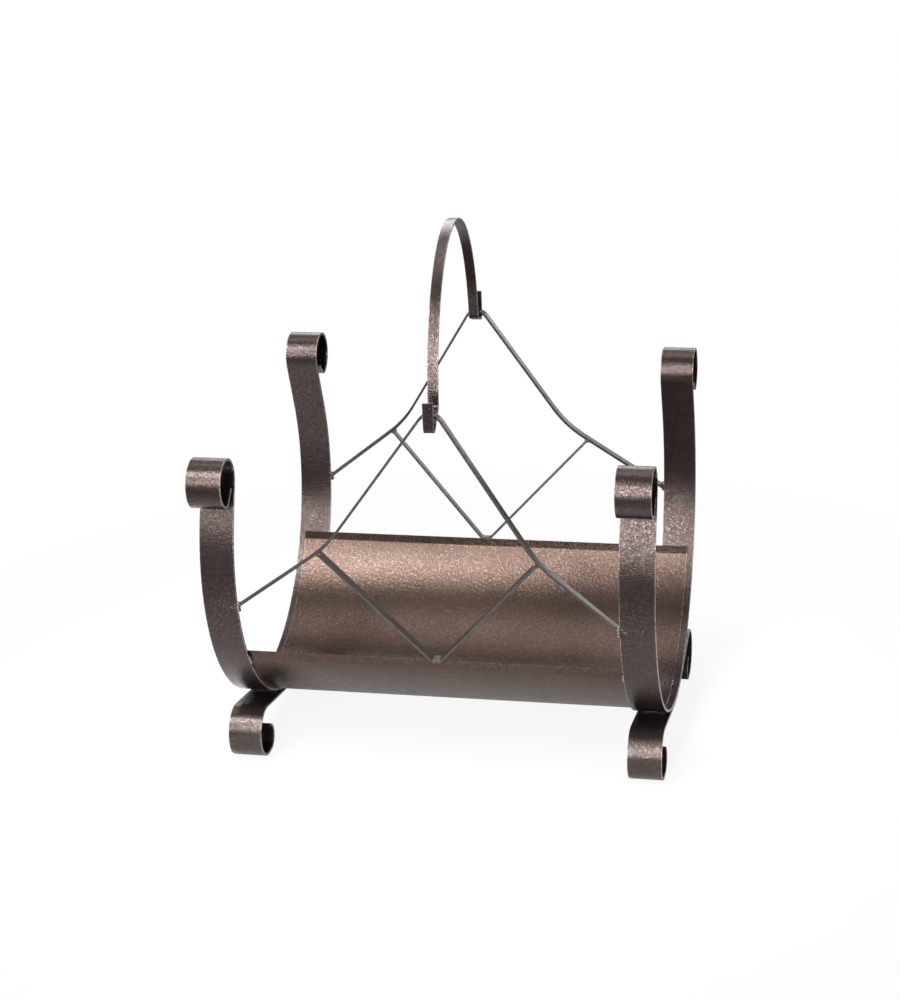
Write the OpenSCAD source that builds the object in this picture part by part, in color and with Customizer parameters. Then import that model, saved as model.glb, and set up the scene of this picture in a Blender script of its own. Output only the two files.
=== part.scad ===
// Log holder made of bent flat bar and one rolled sheet.
// Two scrolled bands carry the trough and stand on scrolled foot bars. Each long side has a bent
// arch with a vee brace, and a loose handle hooks round the crests of the two arches.
// X runs along the trough, Y across it and Z up. The origin is on the floor under the middle.

/* [Bands] */
// Width of the flat bar of the bands and the foot bars
band_w = 40; // [30:1:50]
// Thickness of that bar
band_t = 3; // [2.5:0.5:5]
// Inside radius of the round bend that the trough lies in
band_r = 211; // [190:1:240]
// Lean of the band tops over the trough, in degrees
band_lean = 19.5; // [10:0.5:25]
// Straight neck between the round bend and the scroll, at each end of the left band
left_front_neck = 43; // [35:1:70]
left_rear_neck = 61; // [35:1:70]
// The same at each end of the right band
right_front_neck = 50; // [35:1:70]
right_rear_neck = 50; // [35:1:70]
// Scroll radius to the middle of the bar
scroll_r = 27; // [25:0.5:34]
// Turn of the scroll, in degrees
scroll_turn = 260; // [220:5:270]
// Radius of the tighter curl that ends the scroll
curl_r = 12; // [9:0.5:14]
// Turn of that curl, in degrees
curl_turn = 75; // [40:5:90]
// Straight end of the bar inside the scroll
scroll_tip = 16; // [6:1:18]

/* [Trough] */
// Length of the sheet
trough_len = 500; // [420:5:700]
// Thickness of the sheet
sheet_t = 1.5; // [1:0.25:3]
// How far the sheet ends short of the outer edges of the bands
sheet_inset = 8; // [2:1:15]
// Angle from the bottom of the trough to the end of its round, in degrees
trough_angle = 59; // [50:1:62]
// Inside radius of the fold along each long edge
fold_r = 4; // [2:0.5:8]
// Slope of the folded edge, in degrees from level
fold_slope = 80; // [70:1:88]
// Length of the folded edge beyond the fold
fold_len = 9; // [6:1:14]

/* [Foot bars] */
// Rise of a foot bar from its middle to its ends, in degrees
foot_rise = 10.5; // [8:0.5:13]
// Straight run from the band to the curl
foot_run = 92; // [80:1:110]
// Radius of the outer curl to the middle of the bar
foot_r = 29.5; // [25:0.5:32]
// Flat length that stands on the floor
foot_flat = 7; // [5:1:16]
// Radius of the inner curl to the middle of the bar
foot_curl_r = 15.5; // [12:0.5:17]
// Turn of the inner curl, in degrees
foot_curl_turn = 160; // [120:5:170]

/* [Arches] */
// Width of the flat bar of the arches and the vee braces
arch_w = 10; // [8:1:16]
// Thickness of that bar
arch_t = 3; // [2:0.5:4]
// Drop from the centre of the round bend to the foot level of the arches
arch_drop = 31; // [10:1:45]
// Height above the foot level at which each arch end meets its band
front_left_end = 2; // [-8:1:8]
front_right_end = -6; // [-8:1:8]
rear_left_end = 2; // [-8:1:8]
rear_right_end = 4; // [-8:1:8]
// Knees of the front arch: distance from the middle, and height above the foot level
front_left_knee = [112, 77]; // [65:1:125]
front_right_knee = [127, 68]; // [65:1:125]
// Knees of the rear arch
rear_left_knee = [114, 83]; // [65:1:125]
rear_right_knee = [96, 85]; // [65:1:125]
// Radius of the bends at the knees
knee_r = 140; // [20:10:160]
// Height of the crests above the foot level, along the arch
crest_rise = 234; // [210:1:260]
// Half of the length between the two shoulders of a crest
crest_half = 8.5; // [8:0.5:12]
// Radius of the bend at the shoulders
shoulder_r = 14; // [10:1:14]
// Sideways offset of the crests, to the right at the front and to the left at the rear
crest_shift = 12.5; // [0:0.5:20]
// Lean of the arches over the trough, in degrees
arch_lean = 2.85; // [0:0.05:5]

/* [Vee braces] */
// Half of the spread of each vee brace where it meets its arch
front_vee_half = 124.5; // [115:0.5:135]
rear_vee_half = 127; // [115:0.5:135]
// Sideways offset of their tops, to the right at the front and to the left at the rear
vee_shift = 3; // [0:0.5:6]
// The same for their feet
front_vee_foot_shift = 4.5; // [0:0.5:12]
rear_vee_foot_shift = 8; // [0:0.5:12]
// Length between the two bends at the foot of a vee brace
vee_foot = 11; // [11:1:30]
// Radius of those bends
vee_r = 6; // [4:0.5:10]

/* [Handle] */
// Width of the flat bar of the handle
handle_w = 12; // [8:1:14]
// Thickness of that bar
handle_t = 3; // [2:0.5:4]
// Rise of the handle from the arch crests to its top
handle_rise = 163.5; // [145:0.5:200]
// Straight length of the handle below its round top
handle_straight = 10; // [8:1:30]
// How far inside the arch bar's middle the handle's limbs come down
hook_inset = 26; // [20:1:34]
// Clear space between the arch bar and the free leg of each hook; the rear one lies against its bar
front_hook_gap = 6; // [0.3:0.1:9]
rear_hook_gap = 0.4; // [0.3:0.1:9]
// Drop of each hook below the middle of the arch bar
front_hook_drop = 20; // [12:0.5:24]
rear_hook_drop = 12; // [12:0.5:24]
// Height of each free hook end above the middle of the arch bar
front_hook_end = 18; // [8:1:30]
rear_hook_end = 24; // [8:1:30]
// Radius of the two bends of a hook to the middle of the bar
hook_r = 6; // [4:0.5:7]

/* [Welds] */
// Gap left between curved pieces that are welded together
seam_gap = 0.2; // [0.1:0.05:0.4]
// Thickness radius of the weld beads
bead_r = 2.4; // [1.5:0.1:3]
// The same for the larger beads at the arch ends
arch_bead_r = 3; // [2:0.1:4]
// Length of the beads at the trough corners and at the arch ends
corner_bead_len = 13; // [8:1:18]
// Radius of the bead at each end of the sheet
end_bead_r = 1.6; // [1.3:0.1:2]
// Angle of that bead behind the bottom of the trough, in degrees
end_bead_angle = 5; // [0:1:15]
// Length of the beads between a foot bar and its band
foot_bead_len = 30; // [15:1:36]
// Length of the beads at the tops of the vee braces
vee_bead_len = 6; // [4:0.5:7]

/* [Hidden] */
$fn = 144;

copper_brown = [0.30, 0.21, 0.17];
copper_dark = [0.24, 0.17, 0.14];
weld_brown = [0.36, 0.27, 0.23];

// Angles that the bar turns through at a bend: square and half round
square_turn = 90;
half_turn = 180;

// Middle radii of the bars and the sheet on the common centre of the round bend
band_mid_r = band_r + band_t / 2;
band_out_r = band_r + band_t;
sheet_mid_r = band_r - seam_gap - sheet_t / 2;
foot_mid_r = band_out_r + seam_gap + band_t / 2;

// Bands stand this far from the middle, to the middle of their width
band_x = trough_len / 2 + sheet_inset - band_w / 2;
band_in_x = band_x - band_w / 2;

// A bent strip is a list of legs: [length] is straight, [radius, turn] is a bend, left above zero
function band_legs(neck) = [
    [band_mid_r, square_turn + band_lean],
    [neck],
    [scroll_r, -scroll_turn],
    [curl_r, -curl_turn],
    [scroll_tip]
];
sheet_legs = [
    [sheet_mid_r, trough_angle],
    [fold_r + sheet_t / 2, fold_slope - trough_angle],
    [fold_len]
];
foot_arm_legs = [
    [foot_mid_r, foot_rise],
    [foot_run]
];
foot_legs = concat(foot_arm_legs, [
    [foot_r, -half_turn - foot_rise],
    [foot_flat],
    [foot_curl_r, -foot_curl_turn]
]);

// Place and heading at the end of a leg, and at the end of a list of legs
function after_leg(leg, pose) =
    len(leg) == 1
    ? [pose[0] + leg[0] * cos(pose[2]), pose[1] + leg[0] * sin(pose[2]), pose[2]]
    : let (r = sign(leg[1]) * leg[0], heading = pose[2] + leg[1])
        [pose[0] + r * (sin(heading) - sin(pose[2])), pose[1] + r * (cos(pose[2]) - cos(heading)), heading];
function after_legs(legs, pose, i = 0) =
    i == len(legs) ? pose : after_legs(legs, after_leg(legs[i], pose), i + 1);

// Legs of a strip that runs through points, with a bend of the given radius at each inner point
function heading(a, b) = atan2(b[1] - a[1], b[0] - a[0]);
function turn_at(points, i) = heading(points[i], points[i + 1]) - heading(points[i - 1], points[i]);
function setback(points, radii, i) =
    i == 0 || i == len(points) - 1 ? 0 : radii[i - 1] * tan(abs(turn_at(points, i)) / 2);
function legs_through(points, radii) = [
    for (i = [0 : len(points) - 2]) each [
        [norm(points[i + 1] - points[i]) - setback(points, radii, i) - setback(points, radii, i + 1)],
        if (i < len(points) - 2) [radii[i], turn_at(points, i + 1)]
    ]
];

// Height of the round bend's centre, set by the curls of the foot bars standing on the floor
foot_arm_end = after_legs(foot_arm_legs, [0, -foot_mid_r, 0]);
foot_curl_centre = foot_arm_end[1] - foot_r * cos(foot_rise);
axis_z = foot_r + band_t / 2 - foot_curl_centre;

// Top edge of the sheet's folded edge, across the trough and above the floor
rim = after_legs(sheet_legs, [0, -sheet_mid_r, 0]);
rim_y = rim[0];
rim_z = axis_z + rim[1];

// Line through the feet of an arch, flush with the outside of the bands
arch_end_y = sqrt(pow(band_out_r, 2) - pow(arch_drop, 2)) - arch_w / 2;
arch_end_z = axis_z - arch_drop;

// Outline of an arch through its corners, seen from its own side of the trough
function arch_points(left_end, left_knee, right_knee, right_end) = [
    [-band_in_x, left_end],
    [-left_knee[0], left_knee[1]],
    [crest_shift - crest_half, crest_rise],
    [crest_shift + crest_half, crest_rise],
    [right_knee[0], right_knee[1]],
    [band_in_x, right_end]
];
front_points = arch_points(front_left_end, front_left_knee, front_right_knee, front_right_end);
rear_points = arch_points(rear_right_end, rear_right_knee, rear_left_knee, rear_left_end);
arch_radii = [knee_r, shoulder_r, shoulder_r, knee_r];
// The arch and vee strips are drawn past their ends, to be cut off flush
end_allowance = arch_t * 2;

// Middle of the bar at the crest of an arch
crest_y = arch_end_y - crest_rise * sin(arch_lean);
crest_z = arch_end_z + crest_rise * cos(arch_lean);

// A vee brace leans from the sheet's edge out to the arch; span is its half spread and foot offset
front_span = [front_vee_half, front_vee_foot_shift];
rear_span = [rear_vee_half, rear_vee_foot_shift];
vee_foot_z = rim_z + seam_gap + arch_t / 2;
function vee_rise(points, span) =
    (lookup(vee_shift - span[0], points) + lookup(vee_shift + span[0], points)) / 2;
function vee_lean(points, span) = atan2(arch_end_y - vee_rise(points, span) * sin(arch_lean) - rim_y,
    arch_end_z + vee_rise(points, span) * cos(arch_lean) - vee_foot_z);
function vee_top(points, span, x) =
    [x, (arch_end_z + lookup(x, points) * cos(arch_lean) - vee_foot_z) / cos(vee_lean(points, span))];
function vee_points(points, span) = [
    vee_top(points, span, vee_shift - span[0]),
    [span[1] - vee_foot / 2, 0],
    [span[1] + vee_foot / 2, 0],
    vee_top(points, span, vee_shift + span[0])
];

// The handle stands in the upright plane through the two crests
handle_skew = atan2(crest_shift, crest_y);
crest_reach = norm([crest_shift, crest_y]);

// Corners of the handle's rear or front half, from the middle of its top
limb_foot = [crest_reach - hook_inset, handle_t / 2 - handle_rise];
arch_reach = arch_w / 2 / cos(handle_skew) + handle_w / 2 * tan(handle_skew) + arch_t / 2 * sin(arch_lean);
function hook_low(gap, drop) = [crest_reach + arch_reach + gap + handle_t / 2, limb_foot[1] - drop];
function hook_tip(gap, end) = [hook_low(gap, 0)[0], limb_foot[1] + end];

// The round top ends where the straight limb leaves it towards the limb's foot
crown_r = (pow(limb_foot[0], 2) + pow(limb_foot[1], 2) - pow(handle_straight, 2)) / (-2 * limb_foot[1]);
crown_turn = square_turn + atan2(-limb_foot[1] - crown_r, limb_foot[0]) - atan2(handle_straight, crown_r);
crown_end = after_leg([crown_r, -crown_turn], [0, 0, 0]);
function handle_legs(gap, drop, end) = concat([[crown_r, -crown_turn]],
    legs_through([[crown_end[0], crown_end[1]], limb_foot, hook_low(gap, drop), hook_tip(gap, end)],
        [hook_r, hook_r]));

// Each leg overlaps the one before by the lap, and every other leg is thinner by the inset all
// round, so that legs join into one solid and no face lies in another
leg_lap = 0.05;
leg_inset = 0.01;

// Large enough to cut across any piece, and to hold the end of a strip that reaches an arch
cut_size = 1200;
over_arch_room = 14;

// One leg of a strip after another; low and high are its faces, w its width
module bent_strip(legs, low, high, w, i = 0) {
    if (i < len(legs)) {
        size = legs[i][0];
        inset = i % 2 * leg_inset;
        t = high - low - 2 * inset;
        leg_w = w - 2 * inset;
        if (len(legs[i]) == 1) {
            translate([-leg_lap, low + inset, -leg_w / 2]) cube([size + leg_lap, t, leg_w]);
            translate([size, 0, 0]) bent_strip(legs, low, high, w, i + 1);
        } else {
            turn = legs[i][1];
            side = sign(turn);
            inner = size + min(-side * low, -side * high) + inset;
            lap_turn = leg_lap / size * half_turn / PI;
            translate([0, side * size, 0]) {
                rotate([0, 0, side > 0 ? -square_turn - lap_turn : square_turn + turn])
                    rotate_extrude(angle = abs(turn) + lap_turn)
                        translate([inner, -leg_w / 2]) square([t, leg_w]);
                rotate([0, 0, turn]) translate([0, -side * size, 0])
                    bent_strip(legs, low, high, w, i + 1);
            }
        }
    }
}

// A strip in the plane across the trough, from the middle of its width to the rear
module across_trough(legs, start, t, w) {
    translate([0, 0, start]) rotate([square_turn, 0, square_turn]) bent_strip(legs, -t / 2, t / 2, w);
}

// The front half, as a mirror image of the rear half
module to_front() {
    mirror([0, 1, 0]) children();
}

// Front pieces as drawn, or turned half round to stand at the rear
module at_side(rear) {
    rotate([0, 0, rear ? half_turn : 0]) children();
}

// A strip through points in a leaning plane that stands on a line along X
module leaning_strip(points, radii, y, z, lean, low, high, w) {
    translate([0, y, z]) rotate([square_turn + lean, 0, 0])
        translate(points[0]) rotate([0, 0, heading(points[0], points[1])])
            translate([-end_allowance, 0, 0])
                bent_strip(concat([[end_allowance]], legs_through(points, radii), [[end_allowance]]),
                    low, high, w);
}

module arch_strip(points, low, high, w) {
    leaning_strip(points, arch_radii, -arch_end_y, arch_end_z, -arch_lean, low, high, w);
}

module arch_bar(points) {
    intersection() {
        arch_strip(points, -arch_t / 2, arch_t / 2, arch_w);
        translate([-band_in_x, -cut_size / 2, 0]) cube([2 * band_in_x, cut_size, cut_size]);
    }
}

// All the room at and over an arch, from its underside up
module over_arch(points) {
    arch_strip(points, -arch_t / 2, over_arch_room, arch_w + over_arch_room);
}

module vee_strip(points, span) {
    leaning_strip(vee_points(points, span), [vee_r, vee_r], -rim_y, vee_foot_z,
        vee_lean(points, span), -arch_t / 2, arch_t / 2, arch_w);
}

module vee_bar(points, span) {
    difference() {
        vee_strip(points, span);
        over_arch(points);
    }
}

module sheet_body() {
    translate([0, 0, axis_z]) {
        across_trough(sheet_legs, -sheet_mid_r, sheet_t, trough_len);
        to_front() across_trough(sheet_legs, -sheet_mid_r, sheet_t, trough_len);
    }
}

module band_body(x) {
    rear_neck = x < 0 ? left_rear_neck : right_rear_neck;
    front_neck = x < 0 ? left_front_neck : right_front_neck;
    translate([x, 0, axis_z]) {
        across_trough(band_legs(rear_neck), -band_mid_r, band_t, band_w);
        to_front() across_trough(band_legs(front_neck), -band_mid_r, band_t, band_w);
    }
}

module foot_body(x) {
    translate([x, 0, axis_z]) {
        across_trough(foot_legs, -foot_mid_r, band_t, band_w);
        to_front() across_trough(foot_legs, -foot_mid_r, band_t, band_w);
    }
}

// A round-ended bead along X, centred
module bead(length, r) {
    translate([-length / 2 + r, 0, 0]) {
        rotate([0, square_turn, 0]) cylinder(r = r, h = length - 2 * r);
        sphere(r);
        translate([length - 2 * r, 0, 0]) sphere(r);
    }
}

module trough_sheet() {
    color(copper_brown) sheet_body();
}

module left_band() {
    color(copper_brown) band_body(-band_x);
}

module right_band() {
    color(copper_brown) band_body(band_x);
}

module left_foot_bar() {
    color(copper_dark) foot_body(-band_x);
}

module right_foot_bar() {
    color(copper_dark) foot_body(band_x);
}

module front_arch() {
    color(copper_dark) arch_bar(front_points);
}

module rear_arch() {
    color(copper_dark) at_side(true) arch_bar(rear_points);
}

module front_vee_brace() {
    color(copper_dark) vee_bar(front_points, front_span);
}

module rear_vee_brace() {
    color(copper_dark) at_side(true) vee_bar(rear_points, rear_span);
}

module handle() {
    front_legs = handle_legs(front_hook_gap, front_hook_drop, front_hook_end);
    rear_legs = handle_legs(rear_hook_gap, rear_hook_drop, rear_hook_end);
    color(copper_brown) rotate([0, 0, handle_skew])
        translate([0, 0, crest_z + handle_rise - handle_t / 2]) {
            across_trough(rear_legs, 0, handle_t, handle_w);
            to_front() across_trough(front_legs, 0, handle_t, handle_w);
        }
}

// A round bar along X about the centre of the round bend
module core(r, from_x, to_x) {
    translate([from_x, 0, axis_z]) rotate([0, square_turn, 0]) cylinder(r = r, h = to_x - from_x);
}

// A bead along the round of the trough, at a radius and an angle from the bottom
module round_bead(x, r, angle, bead_size) {
    translate([x, 0, axis_z]) rotate([angle, 0, 0]) translate([0, 0, -r])
        rotate([0, 0, square_turn]) bead(corner_bead_len, bead_size);
}

// Beads outside the right corners of the sheet on the inner edge of the band
module corner_beads() {
    difference() {
        for (side = [-1, 1])
            round_bead(band_in_x, band_r + bead_r / 2, side * trough_angle, bead_r);
        core(band_r - seam_gap, 0, band_x);
        difference() {
            core(band_r + band_w, band_in_x, band_x);
            core(band_r, 0, cut_size);
        }
    }
}

// A bead at the right end of the sheet, inside the band
module end_bead() {
    difference() {
        round_bead(trough_len / 2, sheet_mid_r, end_bead_angle, end_bead_r);
        difference() {
            core(band_r + band_w, 0, cut_size);
            core(band_r, trough_len / 2, cut_size);
            core(sheet_mid_r - sheet_t / 2, 0, cut_size);
        }
    }
}

module left_trough_welds() {
    color(weld_brown) mirror([1, 0, 0]) {
        corner_beads();
        end_bead();
    }
}

module right_trough_welds() {
    color(weld_brown) {
        corner_beads();
        end_bead();
    }
}

// Beads in the wedges where a foot bar leaves its band
module foot_welds(x) {
    wedge_r = band_out_r + bead_r;
    wedge_angle = foot_rise + acos(foot_mid_r / (foot_mid_r + bead_r));
    difference() {
        for (side = [-1, 1])
            translate([x, side * wedge_r * sin(wedge_angle), axis_z - wedge_r * cos(wedge_angle)])
                bead(foot_bead_len, bead_r);
        band_body(x);
        foot_body(x);
    }
}

module left_foot_welds() {
    color(weld_brown) foot_welds(-band_x);
}

module right_foot_welds() {
    color(weld_brown) foot_welds(band_x);
}

// Beads round the ends of an arch, on the inner edges of the bands
module arch_end_welds(points) {
    difference() {
        for (end = [points[0], points[len(points) - 1]])
            translate([end[0], -arch_end_y - arch_w / 2 + arch_bead_r / 2, arch_end_z + end[1]])
                cylinder(r = arch_bead_r, h = corner_bead_len, center = true);
        arch_bar(points);
        for (side = [-1, 1])
            translate([side * (band_in_x + band_w / 2), 0, 0])
                cube([band_w, cut_size, cut_size], center = true);
    }
}

module front_arch_end_welds() {
    color(weld_brown) arch_end_welds(front_points);
}

module rear_arch_end_welds() {
    color(weld_brown) at_side(true) arch_end_welds(rear_points);
}

// Beads on both faces of each leg of a vee brace, close under the arch
module vee_top_welds(points, span) {
    corners = vee_points(points, span);
    difference() {
        translate([0, -arch_end_y, arch_end_z]) rotate([square_turn - arch_lean, 0, 0])
            for (leg = [[corners[0], corners[1]], [corners[3], corners[2]]], face = [-1, 1])
                translate([leg[0][0], lookup(leg[0][0], points), 0])
                    rotate([0, 0, heading(leg[0], leg[1])])
                        translate([arch_t / 2 + bead_r / 2, face * arch_t / 2, 0])
                            cylinder(r = bead_r, h = vee_bead_len, center = true);
        over_arch(points);
        vee_strip(points, span);
    }
}

module front_vee_top_welds() {
    color(weld_brown) vee_top_welds(front_points, front_span);
}

module rear_vee_top_welds() {
    color(weld_brown) at_side(true) vee_top_welds(rear_points, rear_span);
}

// Beads under the foot of the vee brace, on both faces of the sheet's edge
module vee_foot_welds(points, span) {
    difference() {
        for (face = [-1, 1])
            translate([span[1], -rim_y + face * bead_r / 2, rim_z - bead_r / 2])
                bead(vee_foot, bead_r);
        sheet_body();
        vee_strip(points, span);
    }
}

module front_vee_foot_welds() {
    color(weld_brown) vee_foot_welds(front_points, front_span);
}

module rear_vee_foot_welds() {
    color(weld_brown) at_side(true) vee_foot_welds(rear_points, rear_span);
}

trough_sheet();
left_band();
right_band();
left_foot_bar();
right_foot_bar();
front_arch();
rear_arch();
front_vee_brace();
rear_vee_brace();
handle();
left_trough_welds();
right_trough_welds();
left_foot_welds();
right_foot_welds();
front_arch_end_welds();
rear_arch_end_welds();
front_vee_top_welds();
rear_vee_top_welds();
front_vee_foot_welds();
rear_vee_foot_welds();
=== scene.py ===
import random
from math import acos, atan2, ceil, copysign, cos, degrees, hypot, pi, radians, sin, sqrt, tan

import bmesh
import bpy
from mathutils import Matrix, Vector


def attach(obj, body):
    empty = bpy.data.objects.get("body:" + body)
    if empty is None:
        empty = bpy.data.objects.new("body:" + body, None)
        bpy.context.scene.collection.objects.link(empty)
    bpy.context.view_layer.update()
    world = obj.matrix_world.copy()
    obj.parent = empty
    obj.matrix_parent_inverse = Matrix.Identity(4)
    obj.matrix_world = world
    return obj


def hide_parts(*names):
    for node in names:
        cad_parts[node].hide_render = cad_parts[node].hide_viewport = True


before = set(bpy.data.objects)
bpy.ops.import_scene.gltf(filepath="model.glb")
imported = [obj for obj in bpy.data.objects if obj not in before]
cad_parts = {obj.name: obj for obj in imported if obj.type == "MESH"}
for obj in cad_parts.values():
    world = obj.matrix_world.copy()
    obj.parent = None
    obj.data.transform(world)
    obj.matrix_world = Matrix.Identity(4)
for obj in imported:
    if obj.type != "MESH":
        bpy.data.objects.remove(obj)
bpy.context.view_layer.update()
print("stage: frame loaded")

scene = bpy.context.scene
mm = 0.001
random.seed(7)

viewFrom = {
    "place": (0.532282, -2.431608, 1.25549),   # metres from the middle of the floor
    "azimuth": 12.6413,                        # degrees round to the right
    "elevation": 21.3398,
    "roll": -2.521,
    "lens": 89.665,                            # millimetres
    "sensor": 36,                              # the width of the picture, behind that lens
    "reach": 100,                              # metres
}


def addCamera(view):
    azimuth, elevation, roll = (radians(view[k]) for k in ("azimuth", "elevation", "roll"))
    back = Vector((sin(azimuth) * cos(elevation), -cos(azimuth) * cos(elevation), sin(elevation)))
    side = Vector((cos(azimuth), sin(azimuth), 0))
    above = back.cross(side)
    right = side * cos(roll) + above * sin(roll)
    up = above * cos(roll) - side * sin(roll)
    data = bpy.data.cameras.new("camera")
    data.sensor_fit = "HORIZONTAL"
    data.sensor_width = view["sensor"]
    data.lens = view["lens"]
    data.clip_end = view["reach"]
    camera = bpy.data.objects.new("camera", data)
    turn = Matrix((right, up, back)).transposed().to_4x4()
    camera.matrix_world = Matrix.Translation(view["place"]) @ turn
    scene.collection.objects.link(camera)
    scene.camera = camera


addCamera(viewFrom)
print("stage: camera")


def addNode(tree, kind, **values):
    node = tree.nodes.new(kind)
    for key, value in values.items():
        setattr(node, key, value)
    return node


def feed(tree, node, **sockets):
    # a socket goes by its name without spaces, or by i and its number
    named = {s.name.replace(" ", ""): s for s in reversed(node.inputs)}
    for key, value in sockets.items():
        socket = named[key] if key in named else node.inputs[int(key[1:])]
        if isinstance(value, bpy.types.NodeSocket):
            tree.links.new(value, socket)
        else:
            socket.default_value = value


def newGroup(name, inputs, outputs):
    # an input without a starting value is a vector; all the other sockets are single values
    tree = bpy.data.node_groups.new(name, "ShaderNodeTree")
    for label, start in inputs.items():
        kind = "NodeSocketVector" if start is None else "NodeSocketFloat"
        socket = tree.interface.new_socket(name=label, in_out="INPUT", socket_type=kind)
        if start is not None:
            socket.default_value = start
    for label in outputs:
        tree.interface.new_socket(name=label, in_out="OUTPUT", socket_type="NodeSocketFloat")
    return tree, tree.nodes.new("NodeGroupInput"), tree.nodes.new("NodeGroupOutput")


def mixColours(tree, factor, a, b):
    node = addNode(tree, "ShaderNodeMix", data_type="RGBA")
    feed(tree, node, i0=factor, i6=a, i7=b)   # its two colours are sockets 6 and 7
    return node.outputs[2]


def sums(tree, operation, a, b, clamp=False):
    node = addNode(tree, "ShaderNodeMath", operation=operation, use_clamp=clamp)
    feed(tree, node, i0=a, i1=b)
    return node.outputs[0]


def weighted(tree, a, b, shares):
    parts = [sums(tree, "MULTIPLY", part, share) for part, share in zip((a, b), shares)]
    return sums(tree, "ADD", *parts)


def spread(tree, value, fromLow, fromHigh, toLow=0.0, toHigh=1.0):
    node = addNode(tree, "ShaderNodeMapRange")
    feed(tree, node, i0=value, i1=fromLow, i2=fromHigh, i3=toLow, i4=toHigh)
    return node.outputs[0]


def noise(tree, where, scale, detail, roughness=0.5):
    node = addNode(tree, "ShaderNodeTexNoise")
    feed(tree, node, Vector=where, Scale=scale, Detail=detail, Roughness=roughness)
    return node.outputs[0]


fleckLook = {
    "shares": (0.72, 0.28),       # of single flecks and of their clumps
    "clumpScale": 0.31,           # times the fleck scale
    "level": 0.62,                # noise above this is a fleck where the cover is 0
    "coverDrop": 0.16,            # how much lower that level is where the cover is 1
    "softness": 0.09,
    "skinShares": (1.0, 0.5),     # of the paint's fine skin and of its wider dimples
    "dimpleScale": 0.45,          # times the peel scale
}
patchLook = {"shares": (0.65, 0.35), "quickScale": 7.0, "tone": (0.3, 0.7)}
# breaks up the pale edge strip, which is partly real wear and partly a painted edge highlight
wearAndSheenLook = {"scale": 210.0, "broken": (0.32, 0.62)}


def makeFlecks(look):
    # where the paint holds smooth metal flecks, and the height of its hammered skin
    tree, given, out = newGroup(
        "fleckedPaint",
        {"Vector": None, "Fleck Scale": 1050.0, "Peel Scale": 720.0, "Fleck Cover": 0.68},
        ("Fleck", "Peel"))
    where, fleckScale, peelScale, cover = (
        given.outputs[k] for k in ("Vector", "Fleck Scale", "Peel Scale", "Fleck Cover"))
    clumpScale = sums(tree, "MULTIPLY", fleckScale, look["clumpScale"])
    single = noise(tree, where, fleckScale, detail=2.0, roughness=0.6)
    clumps = noise(tree, where, clumpScale, detail=2.0)
    both = weighted(tree, single, clumps, look["shares"])
    low = sums(tree, "SUBTRACT", look["level"], sums(tree, "MULTIPLY", cover, look["coverDrop"]))
    fleck = spread(tree, both, low, sums(tree, "ADD", low, look["softness"]))
    dimpleScale = sums(tree, "MULTIPLY", peelScale, look["dimpleScale"])
    skin = noise(tree, where, peelScale, detail=1.0)
    dimples = noise(tree, where, dimpleScale, detail=0.0)
    feed(tree, out, Fleck=fleck, Peel=weighted(tree, skin, dimples, look["skinShares"]))
    return tree


def makePatches(look):
    # slow changes of tone where the paint lies thicker or thinner
    tree, given, out = newGroup("paintPatches", {"Vector": None, "Scale": 12.0}, ("Tone",))
    where, scale = given.outputs["Vector"], given.outputs["Scale"]
    quickScale = sums(tree, "MULTIPLY", scale, look["quickScale"])
    slow = noise(tree, where, scale, detail=2.0, roughness=0.55)
    quick = noise(tree, where, quickScale, detail=3.0, roughness=0.6)
    both = weighted(tree, slow, quick, look["shares"])
    feed(tree, out, Tone=spread(tree, both, *look["tone"]))
    return tree


def makeEdgeWearAndSheen(look):
    # the edge attribute is 1 on the cut edges of a bar and fades onto its faces; the pale colour
    # laid there is partly real wear and partly a painted highlight along the edges
    tree, given, out = newGroup("edgeWearAndSheen", {"Vector": None, "Reach": 0.7}, ("Worn",))
    edge = addNode(tree, "ShaderNodeAttribute", attribute_name="edgeWearAndSheen").outputs["Fac"]
    patchy = noise(tree, given.outputs["Vector"], look["scale"], detail=3.0, roughness=0.65)
    broken = spread(tree, patchy, *look["broken"])
    near = spread(tree, edge, sums(tree, "SUBTRACT", 1.0, given.outputs["Reach"]), 1.0)
    feed(tree, out, Worn=sums(tree, "MULTIPLY", near, broken, clamp=True))
    return tree


groups = {
    "flecks": makeFlecks(fleckLook),
    "patches": makePatches(patchLook),
    "wear": makeEdgeWearAndSheen(wearAndSheenLook),
}


def placeGroup(tree, key, **sockets):
    node = addNode(tree, "ShaderNodeGroup", node_tree=groups[key])
    feed(tree, node, **sockets)
    return node


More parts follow.
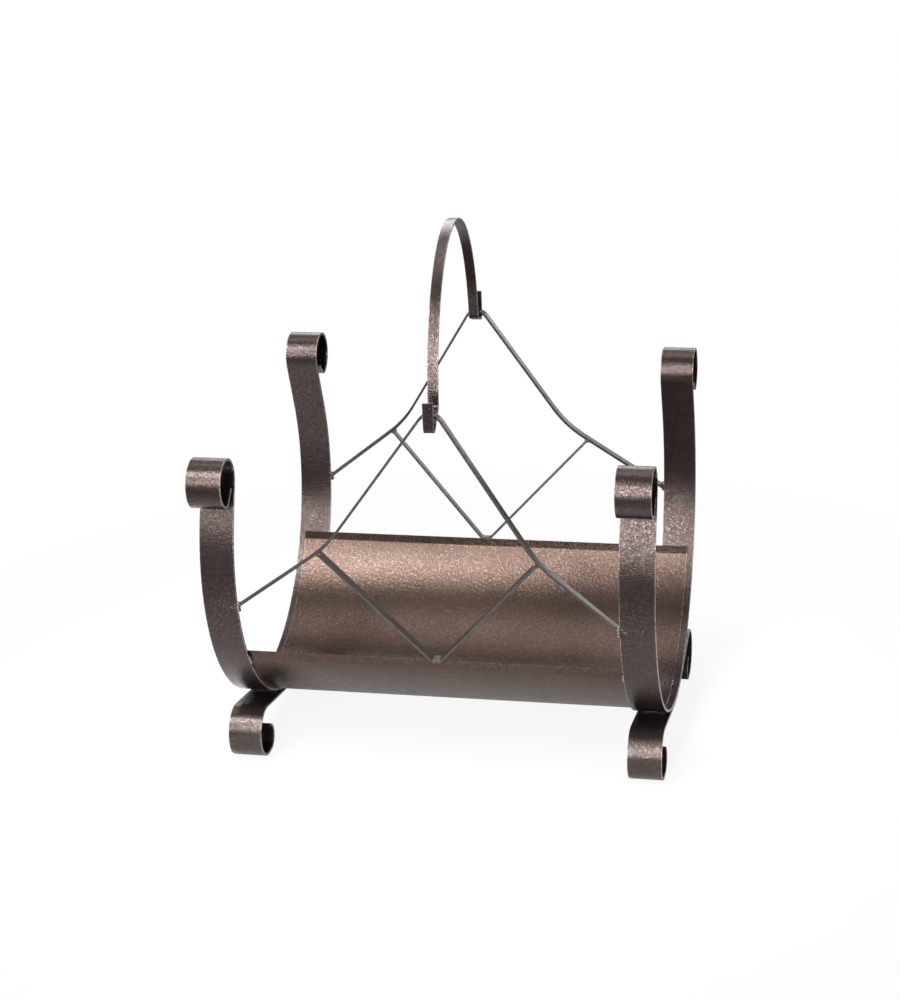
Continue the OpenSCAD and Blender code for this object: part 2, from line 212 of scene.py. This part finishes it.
def hammeredPaint(name, look):
    # dark and slightly patchy, smoother and lighter on the flecks, pale at the edges from wear and
    # from a painted edge highlight
    material = bpy.data.materials.new(name)
    material.use_nodes = True
    tree = material.node_tree
    shader = tree.nodes["Principled BSDF"]
    where = addNode(tree, "ShaderNodeTexCoord").outputs["Object"]
    flecks = placeGroup(tree, "flecks", Vector=where, FleckScale=look["fleckScale"],
                        PeelScale=look["peelScale"], FleckCover=look["fleckCover"])
    tone = placeGroup(tree, "patches", Vector=where, Scale=look["patchScale"]).outputs["Tone"]
    worn = placeGroup(tree, "wear", Vector=where, Reach=look["wearReach"]).outputs["Worn"]
    base = mixColours(tree, tone, look["dark"], look["brown"])
    fleck = sums(tree, "MULTIPLY", flecks.outputs["Fleck"], look["fleckAmount"])
    speckled = mixColours(tree, fleck, base, look["fleck"])
    # the pale edge colour is partly real wear and partly a painted highlight on the edges
    wear = sums(tree, "MULTIPLY", worn, look["wearAmount"])
    colour = mixColours(tree, wear, speckled, look["worn"])
    rough = spread(tree, flecks.outputs["Fleck"], 0.0, 1.0, *look["rough"])
    bump = addNode(tree, "ShaderNodeBump")
    feed(tree, bump, Strength=1.0, Distance=look["peelDepth"] * mm, Height=flecks.outputs["Peel"])
    feed(tree, shader, BaseColor=colour, Roughness=rough, Normal=bump.outputs[0],
         Metallic=look["metallic"], SpecularIORLevel=look["specular"])
    return material


copperPaint = {
    "dark": (0.030, 0.0225, 0.0215, 1),
    "brown": (0.046, 0.0335, 0.0310, 1),
    "fleck": (0.30, 0.222, 0.192, 1),
    # pale edge colour: partly real wear, partly a painted highlight on the edges
    "worn": (0.62, 0.52, 0.48, 1),
    "fleckScale": 1050.0,      # per metre, as the next two
    "peelScale": 720.0,
    "patchScale": 12.0,
    "fleckCover": 0.68,
    "fleckAmount": 0.22,
    "wearReach": 0.7,
    "wearAmount": 0.6,
    "rough": (0.25, 0.06),     # between the flecks and on them
    "peelDepth": 0.26,         # millimetres
    "metallic": 0.75,
    "specular": 0.35,
}
finishes = {
    # lighter and more coppery than the band paint: partly the sheet's own copper tone, partly
    # painted light on it
    "trough": hammeredPaint("troughToneAndPaintedLight", copperPaint | {
        "dark": (0.050, 0.033, 0.027, 1), "brown": (0.070, 0.046, 0.037, 1),
        "fleck": (0.25, 0.165, 0.127, 1), "rough": (0.28, 0.09), "peelDepth": 0.2,
        "metallic": 0.85}),
    "band": hammeredPaint("bandPaint", copperPaint),
    # a lighter copy of the band paint; the lightening is a painted highlight and floor reflection
    # on the foot curls
    "foot": hammeredPaint("footPaintWithPaintedHighlight", copperPaint | {
        "dark": (0.044, 0.0345, 0.0315, 1), "brown": (0.064, 0.050, 0.045, 1),
        "fleck": (0.32, 0.25, 0.22, 1), "patchScale": 22.0}),
    "brace": hammeredPaint("bracePaint", copperPaint | {
        "dark": (0.050, 0.043, 0.040, 1), "brown": (0.076, 0.065, 0.060, 1), "patchScale": 26.0,
        "fleckAmount": 0.05, "wearAmount": 0.08, "rough": (0.34, 0.28), "peelDepth": 0.1}),
    "handle": hammeredPaint("handlePaint", copperPaint | {"patchScale": 20.0}),
    # lighter and more flecked than the bars' paint: partly the beads' own colour, partly a painted
    # glint on them
    "weld": hammeredPaint("weldToneAndPaintedGlint", copperPaint | {
        "dark": (0.10, 0.08, 0.07, 1), "brown": (0.24, 0.195, 0.175, 1), "peelScale": 900.0,
        "fleckAmount": 0.5, "rough": (0.2, 0.12), "metallic": 0.8}),
}
print("stage: paint")


# The middle line of a bent bar is a list of legs, in millimetres: [length] runs straight on and
# [radius, degrees] bends. A pose on it is x, y and the heading in radians.

def afterLeg(leg, pose):
    x, y, heading = pose
    if len(leg) == 1:
        return x + leg[0] * cos(heading), y + leg[0] * sin(heading), heading
    radius = copysign(leg[0], leg[1])
    after = heading + radians(leg[1])
    return (x + radius * (sin(after) - sin(heading)),
            y + radius * (cos(heading) - cos(after)), after)


def endOf(legs, pose=(0, 0, 0)):
    for leg in legs:
        pose = afterLeg(leg, pose)
    return pose


def bothWays(front, rear):
    # the legs from the front tip over the middle to the rear tip, and the pose they start in
    x, y, heading = endOf(front)
    return list(reversed(front)) + list(rear), (-x, y, -heading)


def through(points, radii):
    # the legs of a bar that runs through points, with a bend at each inner one
    way = [atan2(b[1] - a[1], b[0] - a[0]) for a, b in zip(points, points[1:])]
    back = [0] + [r * tan(abs(b - a) / 2) for r, a, b in zip(radii, way, way[1:])] + [0]
    legs = []
    for i, (a, b) in enumerate(zip(points, points[1:])):
        legs.append([hypot(b[0] - a[0], b[1] - a[1]) - back[i] - back[i + 1]])
        if i < len(radii):
            legs.append([radii[i], degrees(way[i + 1] - way[i])])
    return legs, (*points[0], way[0])


corner = {"steps": 3, "wornTo": 1.1}   # of its bevel, and the width in bevels of the pale edge strip of wear and painted highlight


def newBar(flat):
    # the cross-section of a bar, to be swept, with a narrow strip beside each eased edge that
    # takes the pale edge colour of wear and painted highlight
    wide, edge = flat["wide"], flat["edge"]
    bm = bmesh.new()
    wear = bm.verts.layers.float.new("edgeWearAndSheen")
    lie = Matrix(((0, 0, 1, 0), (flat["thick"], 0, 0, 0), (0, wide, 0, 0), (0, 0, 0, 1)))
    bmesh.ops.create_grid(bm, x_segments=1, y_segments=3, size=0.5, matrix=lie)
    for v in bm.verts:
        if abs(v.co.z) < wide / 4:
            v.co.z = copysign(wide / 2 - flat["fade"], v.co.z)
    corners = [v for v in bm.verts if abs(v.co.z) > wide / 2 - edge]
    bmesh.ops.bevel(bm, geom=corners, offset=edge, offset_type="OFFSET",
                    segments=corner["steps"], profile=0.5, affect="VERTICES", material=-1)
    for v in bm.verts:
        v[wear] = 1.0 if abs(v.co.z) > wide / 2 - edge * corner["wornTo"] else 0.0
    return bm


def sweep(bm, legs, pose, stepTurn):
    # a bend has a step for every stepTurn degrees
    faces = bm.faces[:]
    x, y, heading = pose
    start = Matrix.Translation((x, y, 0)) @ Matrix.Rotation(heading, 4, "Z")
    bmesh.ops.transform(bm, verts=bm.verts[:], matrix=start)
    for number, leg in enumerate(legs):
        if len(leg) == 1:
            made = bmesh.ops.extrude_face_region(bm, geom=faces)["geom"]
            ends = [g for g in made if isinstance(g, bmesh.types.BMVert)]
            ahead = (leg[0] * cos(heading), leg[0] * sin(heading), 0)
            bmesh.ops.translate(bm, vec=ahead, verts=ends)
        else:
            radius = copysign(leg[0], leg[1])
            centre = (x - radius * sin(heading), y + radius * cos(heading), 0)
            made = bmesh.ops.spin(
                bm, geom=faces, cent=centre, axis=(0, 0, 1), dvec=(0, 0, 0),
                angle=radians(leg[1]), steps=max(2, ceil(abs(leg[1]) / stepTurn)),
                use_duplicate=False)["geom_last"]
        if number > 0:   # the section between two legs would stay inside the bar
            bmesh.ops.delete(bm, geom=[f for f in faces if f.is_valid], context="FACES")
        faces = [g for g in made if isinstance(g, bmesh.types.BMFace)]
        x, y, heading = afterLeg(leg, (x, y, heading))


def cutEnd(bm, place, away):
    cut = bmesh.ops.bisect_plane(bm, geom=bm.verts[:] + bm.edges[:] + bm.faces[:],
                                 plane_co=place, plane_no=away, clear_outer=True)["geom_cut"]
    rim = [g for g in cut if isinstance(g, bmesh.types.BMEdge)]
    bmesh.ops.contextual_create(bm, geom=rim)


def addPiece(name, bm, body, nodes, material, flatFrom=12.0):
    # edges that turn more than flatFrom degrees stay sharp
    bmesh.ops.remove_doubles(bm, verts=bm.verts[:], dist=0.001)
    bmesh.ops.recalc_face_normals(bm, faces=bm.faces[:])
    bmesh.ops.scale(bm, vec=(mm, mm, mm), verts=bm.verts[:])
    for face in bm.faces:
        face.smooth = True
    mesh = bpy.data.meshes.new(name)
    bm.to_mesh(mesh)
    bm.free()
    mesh.set_sharp_from_angle(angle=radians(flatFrom))
    mesh.materials.append(material)
    piece = bpy.data.objects.new(name, mesh)
    scene.collection.objects.link(piece)
    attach(piece, body)
    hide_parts(*nodes)


# turns a sweep so that it runs along Y and up Z, with the bar's width along X
acrossX = Matrix(((0, 0, 1, 0), (1, 0, 0, 0), (0, 1, 0, 0), (0, 0, 0, 1)))

bar = {"wide": 40.0, "thick": 3.0, "edge": 0.5, "fade": 1.1, "stepTurn": 4.0}
band = {
    "radius": 211.0, "lean": 19.5, "middle": 238.0,
    "necks": {"left": (43.0, 61.0), "right": (50.0, 50.0)},   # front, rear
    "scroll": 27.0, "scrollTurn": 260.0, "curl": 12.0, "curlTurn": 75.0, "tip": 16.0,
}
foot = {"rise": 10.5, "run": 92.0, "radius": 29.5, "flat": 7.0, "curl": 15.5, "curlTurn": 160.0}
trough = {
    "wide": 500.0,   # along the logs
    "thick": 1.5, "angle": 59.0, "fold": 4.75, "slope": 80.0, "lip": 9.0,
    "edge": 0.35, "fade": 1.0, "stepTurn": 3.0,
}
seam = 0.2   # between curved pieces that are welded together

bandMiddle = band["radius"] + bar["thick"] / 2
bandOuter = band["radius"] + bar["thick"]
bandInner = band["middle"] - bar["wide"] / 2
sheetMiddle = band["radius"] - seam - trough["thick"] / 2
footMiddle = bandOuter + seam + bar["thick"] / 2

# the bands' centre stands so high that the foot curls rest on the floor
footArm = [[footMiddle, foot["rise"]], [foot["run"]]]
armEnd = endOf(footArm, (0, -footMiddle, 0))[1]
axisHeight = foot["radius"] + bar["thick"] / 2 - (
    armEnd - foot["radius"] * cos(radians(foot["rise"])))


def bandLegs(neck):
    return [[bandMiddle, 90 + band["lean"]], [neck], [band["scroll"], -band["scrollTurn"]],
            [band["curl"], -band["curlTurn"]], [band["tip"]]]


def footLegs():
    return footArm + [[foot["radius"], -180 - foot["rise"]], [foot["flat"]],
                      [foot["curl"], -foot["curlTurn"]]]


def troughLegs():
    return [[sheetMiddle, trough["angle"]],
            [trough["fold"], trough["slope"] - trough["angle"]], [trough["lip"]]]


def addRound(name, node, kind, flat, front, rear, x, radius):
    # a piece that is bent round the bands' centre line, from its front tip to its rear tip
    bm = newBar(flat)
    sweep(bm, *bothWays(front, rear), flat["stepTurn"])
    bm.transform(Matrix.Translation((x, 0, axisHeight - radius)) @ acrossX)
    addPiece(name, bm, "frame", [node], finishes[kind])


sides = (("left", -1), ("right", 1))
for sideName, side in sides:
    x = side * band["middle"]
    necks = [bandLegs(neck) for neck in band["necks"][sideName]]
    addRound(sideName + "Band", sideName + "_band", "band", bar, *necks, x, bandMiddle)
    addRound(sideName + "FootBar", sideName + "_foot_bar", "foot", bar, footLegs(), footLegs(),
             x, footMiddle)
print("stage: bands and foot bars")

addRound("troughSheet", "trough_sheet", "trough", trough, troughLegs(), troughLegs(),
         0, sheetMiddle)
rim = endOf(troughLegs(), (0, -sheetMiddle, 0))
rimY, rimZ = rim[0], axisHeight + rim[1]
print("stage: trough")

arch = {
    "wide": 10.0, "thick": 3.0, "edge": 0.45, "fade": 0.9, "drop": 31.0, "lean": 2.85,
    # left and right as seen from the arch's own side
    "ends": {"front": (2.0, -6.0), "rear": (4.0, 2.0)},
    "knees": {"front": ((112, 77), (127, 68)), "rear": ((96, 85), (114, 83))},
    "kneeRadius": 140.0, "crest": 234.0, "crestHalf": 8.5, "shoulder": 14.0, "shift": 12.5,
    "stepTurn": 3.0,
}

archY = sqrt(bandOuter ** 2 - arch["drop"] ** 2) - arch["wide"] / 2
archZ = axisHeight - arch["drop"]
archLean = radians(arch["lean"])
crestY = archY - arch["crest"] * sin(archLean)
crestZ = archZ + arch["crest"] * cos(archLean)


def archPoints(which):
    (leftEnd, rightEnd), (leftKnee, rightKnee) = arch["ends"][which], arch["knees"][which]
    return [(-bandInner, leftEnd), (-leftKnee[0], leftKnee[1]),
            (arch["shift"] - arch["crestHalf"], arch["crest"]),
            (arch["shift"] + arch["crestHalf"], arch["crest"]),
            rightKnee, (bandInner, rightEnd)]


def heightAt(points, x):
    for a, b in zip(points, points[1:]):
        if a[0] <= x <= b[0]:
            return a[1] + (b[1] - a[1]) * (x - a[0]) / (b[0] - a[0])


def facing(which):
    # what is made for the front goes to the back by half a turn
    return Matrix.Rotation(pi if which == "rear" else 0, 4, "Z")


def standing(which, y, z, lean):
    return facing(which) @ Matrix.Translation((0, y, z)) @ Matrix.Rotation(pi / 2 + lean, 4, "X")


def addArch(which):
    bends = [arch["kneeRadius"], arch["shoulder"], arch["shoulder"], arch["kneeRadius"]]
    legs, (x, y, heading) = through(archPoints(which), bends)
    over = arch["thick"] * 2   # its ends run into the bands and are cut at their inner faces
    start = (x - over * cos(heading), y - over * sin(heading), heading)
    bm = newBar(arch)
    longer = [[legs[0][0] + over]] + legs[1:-1] + [[legs[-1][0] + over]]
    sweep(bm, longer, start, arch["stepTurn"])
    bm.transform(standing(which, -archY, archZ, -archLean))
    for end in (-1, 1):
        cutEnd(bm, (end * bandInner, 0, 0), (end, 0, 0))
    addPiece(which + "Arch", bm, "frame", [which + "_arch"], finishes["brace"])


# the braces are cut from the same bar as the arches
vee = {
    "half": {"front": 124.5, "rear": 127.0}, "shift": 3.0,
    "footShift": {"front": 4.5, "rear": 8.0}, "foot": 11.0, "radius": 6.0, "stepTurn": 6.0,
}
veeFootZ = rimZ + seam + arch["thick"] / 2


def veeShape(which):
    # the corners of a vee brace in its own leaning plane, and its lean
    points = archPoints(which)
    tops = [vee["shift"] - vee["half"][which], vee["shift"] + vee["half"][which]]
    rise = sum(heightAt(points, x) for x in tops) / 2
    lean = atan2(archY - rise * sin(archLean) - rimY, archZ + rise * cos(archLean) - veeFootZ)
    high = [(x, (archZ + heightAt(points, x) * cos(archLean) - veeFootZ) / cos(lean))
            for x in tops]
    low = [(vee["footShift"][which] + side * vee["foot"] / 2, 0) for side in (-1, 1)]
    return [high[0], low[0], low[1], high[1]], lean


def addVee(which):
    corners, lean = veeShape(which)
    bm = newBar(arch)
    sweep(bm, *through(corners, [vee["radius"]] * 2), vee["stepTurn"])
    bm.transform(standing(which, -rimY, veeFootZ, lean))
    addPiece(which + "VeeBrace", bm, "frame", [which + "_vee_brace"],
             finishes["brace"])


for which in ("front", "rear"):
    addArch(which)
    addVee(which)
print("stage: arches and vee braces")

handle = {
    "wide": 12.0, "thick": 3.0, "edge": 0.45, "fade": 0.9, "rise": 163.5, "straight": 10.0,
    "inset": 26.0, "hookRadius": 6.0, "gap": {"front": 6.0, "rear": 0.4},
    "drop": {"front": 20.0, "rear": 12.0}, "end": {"front": 18.0, "rear": 24.0},
    "stepTurn": 3.0,
}
skew = atan2(arch["shift"], crestY)
crestReach = hypot(arch["shift"], crestY)


def handleLegs(which):
    limb = (crestReach - handle["inset"], handle["thick"] / 2 - handle["rise"])
    reach = (arch["wide"] / 2 / cos(skew) + handle["wide"] / 2 * tan(skew)
             + arch["thick"] / 2 * sin(archLean))   # past the crest's outer edge
    out = crestReach + reach + handle["gap"][which] + handle["thick"] / 2
    crown = (limb[0] ** 2 + limb[1] ** 2 - handle["straight"] ** 2) / (-2 * limb[1])
    turn = 90 + degrees(atan2(-limb[1] - crown, limb[0]) - atan2(handle["straight"], crown))
    start = endOf([[crown, -turn]])
    hook, _ = through([start[:2], limb, (out, limb[1] - handle["drop"][which]),
                       (out, limb[1] + handle["end"][which])], [handle["hookRadius"]] * 2)
    return [[crown, -turn]] + hook


bm = newBar(handle)
sweep(bm, *bothWays(handleLegs("front"), handleLegs("rear")), handle["stepTurn"])
top = Matrix.Translation((0, 0, crestZ + handle["rise"] - handle["thick"] / 2))
bm.transform(Matrix.Rotation(skew, 4, "Z") @ top @ acrossX)
addPiece("bailHandle", bm, "handle", ["handle"], finishes["handle"])
print("stage: handle")

# the beads are rows of overlapping drops, as a hand-fed weld leaves them
drops = {
    "pitch": 1.3, "ring": (14, 9), "flat": 0.62, "jitter": 0.18, "sizes": (0.88, 1.1),
    "flatFrom": 60.0,
}
spatter = {
    "count": 16, "nearest": 1.5, "farthest": 27.5, "rise": 3.5, "sizes": (0.45, 0.95),
    "ring": (8, 6), "flat": 0.6,
}
troughWeld = {
    "half": 5.2, "inside": 0.3, "sunk": 1.0, "radius": 2.0,   # by the sheet's long edges
    "endAngle": 5.0, "endRadius": 1.4,                        # and on its ends, near the bottom
}
footWeld = {"wedge": 2.4, "below": 1.7, "half": 13.0, "radius": 1.9}
archEndWeld = {
    "inset": 0.9965,   # of the way out to the band
    "back": 1.2, "down": 5.0, "up": 4.2, "radius": 2.7,
}
veeTopWeld = {"down": 2.6, "half": 3.2, "radius": 1.8}
veeFootWeld = {"half": 4.5, "off": 1.4, "below": 0.9, "radius": 1.9}


def addDrop(bm, place, radius, ring, flatten):
    bmesh.ops.create_uvsphere(bm, u_segments=ring[0], v_segments=ring[1], radius=radius,
                              matrix=place @ Matrix.Diagonal((*flatten, 1)))


def addBead(bm, start, end, radius):
    along = (end - start).normalized()
    turn = along.to_track_quat("Z", "Y").to_matrix().to_4x4()
    count = max(1, round((end - start).length / drops["pitch"]))
    for i in range(count + 1):
        shake = Vector([random.uniform(-1, 1) for _ in range(3)]) * drops["jitter"] * radius
        size = radius * random.uniform(*drops["sizes"])
        place = Matrix.Translation(start.lerp(end, i / count) + shake)
        addDrop(bm, place @ turn, size, drops["ring"], (1, 1, drops["flat"]))


def addSpatter(bm, side, z):
    # drops thrown from the arch end over the outside of the band
    reach = spatter["farthest"] - spatter["nearest"]
    for _ in range(spatter["count"]):
        x = side * (bandInner + spatter["nearest"] + reach * random.random() ** 2)
        up = z + random.uniform(-spatter["rise"], spatter["rise"])
        y = -sqrt(bandOuter ** 2 - (up - axisHeight) ** 2)
        size = random.uniform(*spatter["sizes"])
        addDrop(bm, Matrix.Translation((x, y, up)), size, spatter["ring"],
                (1, spatter["flat"], 1))


def addWelds(name, bm, node):
    addPiece(name, bm, "frame", [node], finishes["weld"], drops["flatFrom"])


def roundPoint(x, radius, angle):
    a = radians(angle)
    return Vector((x, radius * sin(a), axisHeight - radius * cos(a)))


def addTroughWelds(sideName, side):
    bm = bmesh.new()
    half = degrees(troughWeld["half"] / band["radius"])
    x = side * (bandInner - troughWeld["inside"])
    radius = band["radius"] + troughWeld["sunk"]
    for end in (-1, 1):
        angle = end * trough["angle"]
        addBead(bm, roundPoint(x, radius, angle - half), roundPoint(x, radius, angle + half),
                troughWeld["radius"])
    x, angle = side * trough["wide"] / 2, troughWeld["endAngle"]
    addBead(bm, roundPoint(x, sheetMiddle, angle - half),
            roundPoint(x, sheetMiddle, angle + half), troughWeld["endRadius"])
    addWelds(sideName + "TroughWelds", bm, sideName + "_trough_welds")


def addFootWelds(sideName, side):
    bm = bmesh.new()
    half = Vector((footWeld["half"], 0, 0))
    wedge = foot["rise"] + degrees(acos(footMiddle / (footMiddle + footWeld["wedge"])))
    for end in (-1, 1):
        middle = roundPoint(side * band["middle"], bandOuter + footWeld["below"], end * wedge)
        addBead(bm, middle - half, middle + half, footWeld["radius"])
    addWelds(sideName + "FootWelds", bm, sideName + "_foot_welds")


def addArchEndWelds(which):
    bm = bmesh.new()
    points = archPoints(which)
    for x, rise in (points[0], points[-1]):
        middle = Vector((x * archEndWeld["inset"],
                         -archY - arch["wide"] / 2 + archEndWeld["back"], archZ + rise))
        addBead(bm, middle - Vector((0, 0, archEndWeld["down"])),
                middle + Vector((0, 0, archEndWeld["up"])), archEndWeld["radius"])
        addSpatter(bm, copysign(1, x), archZ + rise)
    bm.transform(facing(which))
    addWelds(which + "ArchEndWelds", bm, which + "_arch_end_welds")


def addVeeTopWelds(which):
    bm = bmesh.new()
    half = Vector((0, 0, veeTopWeld["half"]))
    corners, lean = veeShape(which)
    for top, low in ((corners[0], corners[1]), (corners[3], corners[2])):
        way = Vector((low[0] - top[0], low[1] - top[1], 0)).normalized()
        for face in (-1, 1):
            off = Vector((-way.y, way.x, 0)) * face * arch["thick"] / 2
            middle = Vector((*top, 0)) + way * veeTopWeld["down"] + off
            addBead(bm, middle - half, middle + half, veeTopWeld["radius"])
    bm.transform(standing(which, -rimY, veeFootZ, lean))
    addWelds(which + "VeeTopWelds", bm, which + "_vee_top_welds")


def addVeeFootWelds(which):
    bm = bmesh.new()
    half = Vector((veeFootWeld["half"], 0, 0))
    for face in (-1, 1):
        middle = Vector((vee["footShift"][which], -rimY + face * veeFootWeld["off"],
                         rimZ - veeFootWeld["below"]))
        addBead(bm, middle - half, middle + half, veeFootWeld["radius"])
    bm.transform(facing(which))
    addWelds(which + "VeeFootWelds", bm, which + "_vee_foot_welds")


for sideName, side in sides:
    addTroughWelds(sideName, side)
    addFootWelds(sideName, side)
for which in ("front", "rear"):
    addArchEndWelds(which)
    addVeeTopWelds(which)
    addVeeFootWelds(which)
print("stage: welds")

ground = {
    "half": 14.0,                    # metres
    "paper": (0.86, 0.86, 0.86, 1),  # by the object
    "dusk": (0.2, 0.2, 0.2, 1),      # farther out, so that the underside mirrors less of it
    "shadowFrom": 0.42, "shadowTo": 0.9,
    "white": 0.88,                   # how much the camera sees of plain white by the object
}
studio = {"fill": 0.4, "aim": 0.25}  # the world's level, and the height that the lamps face
lamps = {
    # place, width and height, watts
    "keySoftbox": ((-0.90, -1.34, 2.22), (1.0, 0.85), 44),
    "frontWindow": ((-0.10, -2.9, 1.58), (0.36, 2.6), 76),
    "leftStrip": ((-1.22, -2.8, 1.6), (0.7, 1.2), 34),
    "topSoftbox": ((-0.3, 0.7, 2.7), (1.7, 1.4), 18),
    "backWall": ((-0.7, 3.1, 1.8), (1.5, 1.8), 28),
    "backStrip": ((1.0, 3.1, 0.8), (1.0, 0.8), 9),
}


def seenRay(tree):
    return addNode(tree, "ShaderNodeLightPath").outputs["Is Camera Ray"]


def addFloor():
    bm = bmesh.new()
    bmesh.ops.create_grid(bm, x_segments=1, y_segments=1, size=ground["half"])
    mesh = bpy.data.meshes.new("floor")
    bm.to_mesh(mesh)
    bm.free()
    floor = bpy.data.objects.new("floor", mesh)
    scene.collection.objects.link(floor)
    material = bpy.data.materials.new("floorPaper")
    material.use_nodes = True
    tree = material.node_tree
    tree.nodes.clear()
    where = addNode(tree, "ShaderNodeTexCoord").outputs["Object"]
    far = addNode(tree, "ShaderNodeVectorMath", operation="LENGTH")
    feed(tree, far, i0=where)
    away = spread(tree, far.outputs["Value"], ground["shadowFrom"], ground["shadowTo"])
    clear = spread(tree, away, 0.0, 1.0, ground["white"], 1.0)
    paper = addNode(tree, "ShaderNodeBsdfDiffuse")
    feed(tree, paper, Color=mixColours(tree, away, ground["paper"], ground["dusk"]))
    glow = addNode(tree, "ShaderNodeEmission")
    feed(tree, glow, Color=(1, 1, 1, 1), Strength=1.0)
    blend = addNode(tree, "ShaderNodeMixShader")
    feed(tree, blend, i0=sums(tree, "MULTIPLY", clear, seenRay(tree)),
         i1=paper.outputs[0], i2=glow.outputs[0])
    out = addNode(tree, "ShaderNodeOutputMaterial")
    feed(tree, out, Surface=blend.outputs[0])
    mesh.materials.append(material)


def addWorld(fill):
    # white to the camera, and a dimmer fill to everything else
    world = bpy.data.worlds.new("studio")
    scene.world = world
    world.use_nodes = True
    tree = world.node_tree
    tree.nodes.clear()
    back = addNode(tree, "ShaderNodeBackground")
    feed(tree, back, Color=(1, 1, 1, 1), Strength=spread(tree, seenRay(tree), 0.0, 1.0, fill, 1.0))
    out = addNode(tree, "ShaderNodeOutputWorld")
    feed(tree, out, Surface=back.outputs[0])


def addLamp(name, place, size, watts):
    data = bpy.data.lights.new(name, "AREA")
    data.shape = "RECTANGLE"
    data.size, data.size_y = size
    data.energy = watts
    lamp = bpy.data.objects.new(name, data)
    back = Vector(place) - Vector((0, 0, studio["aim"]))
    turn = back.to_track_quat("Z", "Y").to_matrix().to_4x4()
    lamp.matrix_world = Matrix.Translation(place) @ turn
    lamp.visible_camera = False
    scene.collection.objects.link(lamp)


addFloor()
addWorld(studio["fill"])
for name, settings in lamps.items():
    addLamp(name, *settings)
scene.view_settings.view_transform = "Standard"
print("stage: floor and lamps")
